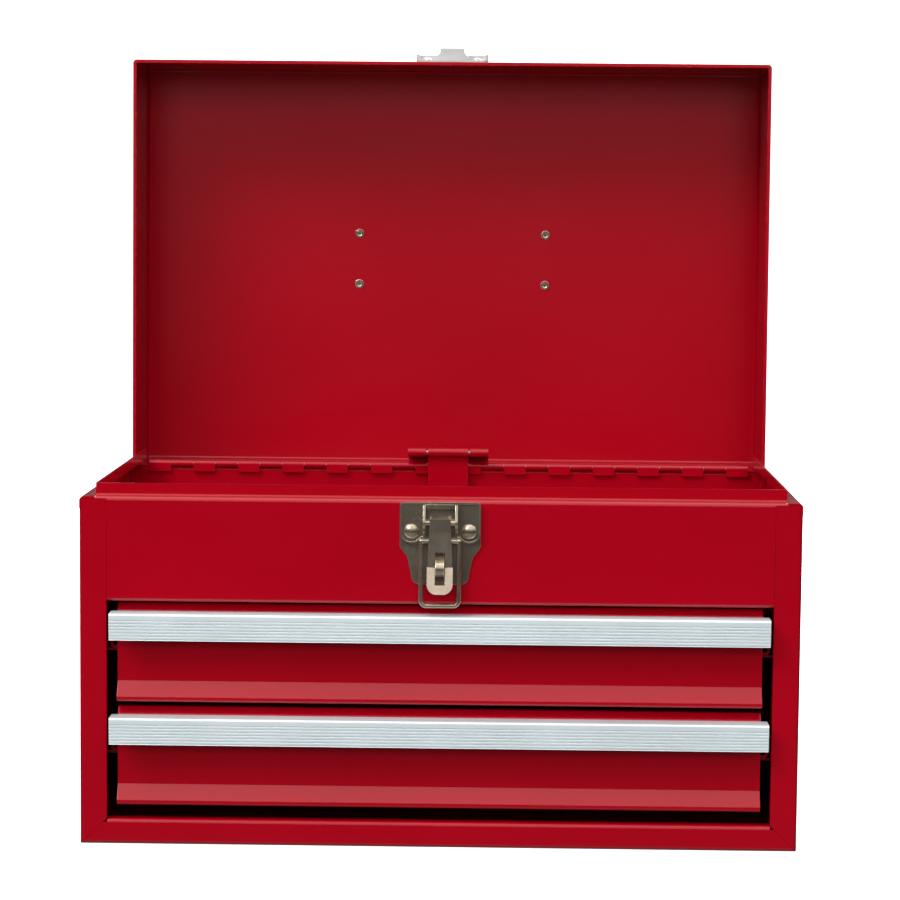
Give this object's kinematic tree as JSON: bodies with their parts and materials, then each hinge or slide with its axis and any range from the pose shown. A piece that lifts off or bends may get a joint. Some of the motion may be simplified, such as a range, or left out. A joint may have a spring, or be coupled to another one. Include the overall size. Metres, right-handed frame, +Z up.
{
  "type": "toolbox with tray",
  "caption": "Portable red steel tool chest with a lift-up lid, top compartment with lift-out tray, drawers with ribbed pulls, draw latch and carrying handle.",
  "frame": {"origin": "middle of the cabinet's footprint, on the surface it stands on", "axes": "+X to the right seen from the drawers, +Y towards the hinge, +Z up"},
  "size_m": [0.36, 0.3329, 0.4105],
  "materials": {
    "red_paint": "glossy red enamel on folded sheet steel",
    "zinc_plate": "bright zinc plated steel",
    "nickel_plate": "warm grey nickel plated steel, polished",
    "pull_alloy": "satin extruded aluminium",
    "chrome_plate": "polished chrome",
    "grip_plastic": "moulded black plastic, fine grain"
  },
  "bodies": {
    "cabinet": {"left_side_panel": "red_paint", "right_side_panel": "red_paint", "bottom_panel": "red_paint", "back_panel": "red_paint", "upper_front_panel": "red_paint", "compartment_floor": "red_paint", "hinge_lower_leaf": "red_paint", "hinge_pin": "zinc_plate", "lock_bar_guides": "red_paint", "upper_left_rail": "red_paint", "upper_right_rail": "red_paint", "lower_left_rail": "red_paint", "lower_right_rail": "red_paint", "latch_base_plate": "nickel_plate", "latch_bracket": "nickel_plate", "latch_pin": "nickel_plate", "latch_staple": "nickel_plate", "latch_rivets": "nickel_plate"},
    "lid": {"lid_pan": "red_paint", "hinge_upper_leaf": "red_paint", "lock_bracket": "red_paint", "lock_bracket_pin": "zinc_plate", "lock_bracket_rivets": "red_paint", "lid_catch": "chrome_plate", "lid_catch_rivets": "nickel_plate", "handle_bracket_left": "chrome_plate", "handle_bracket_right": "chrome_plate", "handle_rivets": "nickel_plate"},
    "handle": {"handle_bail": "chrome_plate", "handle_grip": "grip_plastic"},
    "lock_bar": {"lock_bar": "red_paint"},
    "lever": {"latch_lever": "nickel_plate"},
    "bail": {"latch_bail": "nickel_plate"},
    "upper_drawer": {"upper_drawer_front": "red_paint", "upper_drawer_pan": "red_paint", "upper_drawer_pull": "pull_alloy", "upper_drawer_runners": "red_paint"},
    "lower_drawer": {"lower_drawer_front": "red_paint", "lower_drawer_pan": "red_paint", "lower_drawer_pull": "pull_alloy", "lower_drawer_runners": "red_paint"},
    "tray": {"tray_pan": "red_paint", "tray_divider": "red_paint"}
  },
  "joints": [
    {"name": "lid_hinge", "type": "hinge", "parent": "cabinet", "child": "lid", "pos_m": [0, 0.1128, 0.1734], "axis": [1, 0, 0], "range_deg": [0, 91.5]},
    {"name": "lock_bar_pivot", "type": "hinge", "parent": "lid", "child": "lock_bar", "pos_m": [0, 0.10551, 0.18169], "axis": [1, 0, 0], "range_deg": [-91.5, 0]},
    {"name": "handle_pivot", "type": "hinge", "parent": "lid", "child": "handle", "pos_m": [0, 0.19875, 0.28869], "axis": [1, 0, 0], "range_deg": [0, 180]},
    {"name": "latch_lever_pivot", "type": "hinge", "parent": "cabinet", "child": "lever", "pos_m": [0, -0.1198, 0.1644], "axis": [-1, 0, 0], "range_deg": [0, 75]},
    {"name": "latch_bail_pivot", "type": "hinge", "parent": "lever", "child": "bail", "pos_m": [0, -0.1194, 0.1553], "axis": [-1, 0, 0], "range_deg": [0, 100]},
    {"name": "upper_drawer_slide", "type": "slide", "parent": "cabinet", "child": "upper_drawer", "axis": [0, -1, 0], "range_m": [0, 0.15]},
    {"name": "lower_drawer_slide", "type": "slide", "parent": "cabinet", "child": "lower_drawer", "axis": [0, -1, 0], "range_m": [0, 0.15]},
    {"name": "tray_lift", "type": "slide", "parent": "cabinet", "child": "tray", "axis": [0, 0, 1], "range_m": [0, 0.06]}
  ],
  "couplings": [
    {"joint": "lock_bar_pivot", "follows": "lid_hinge", "ratio": -1}
  ]
}
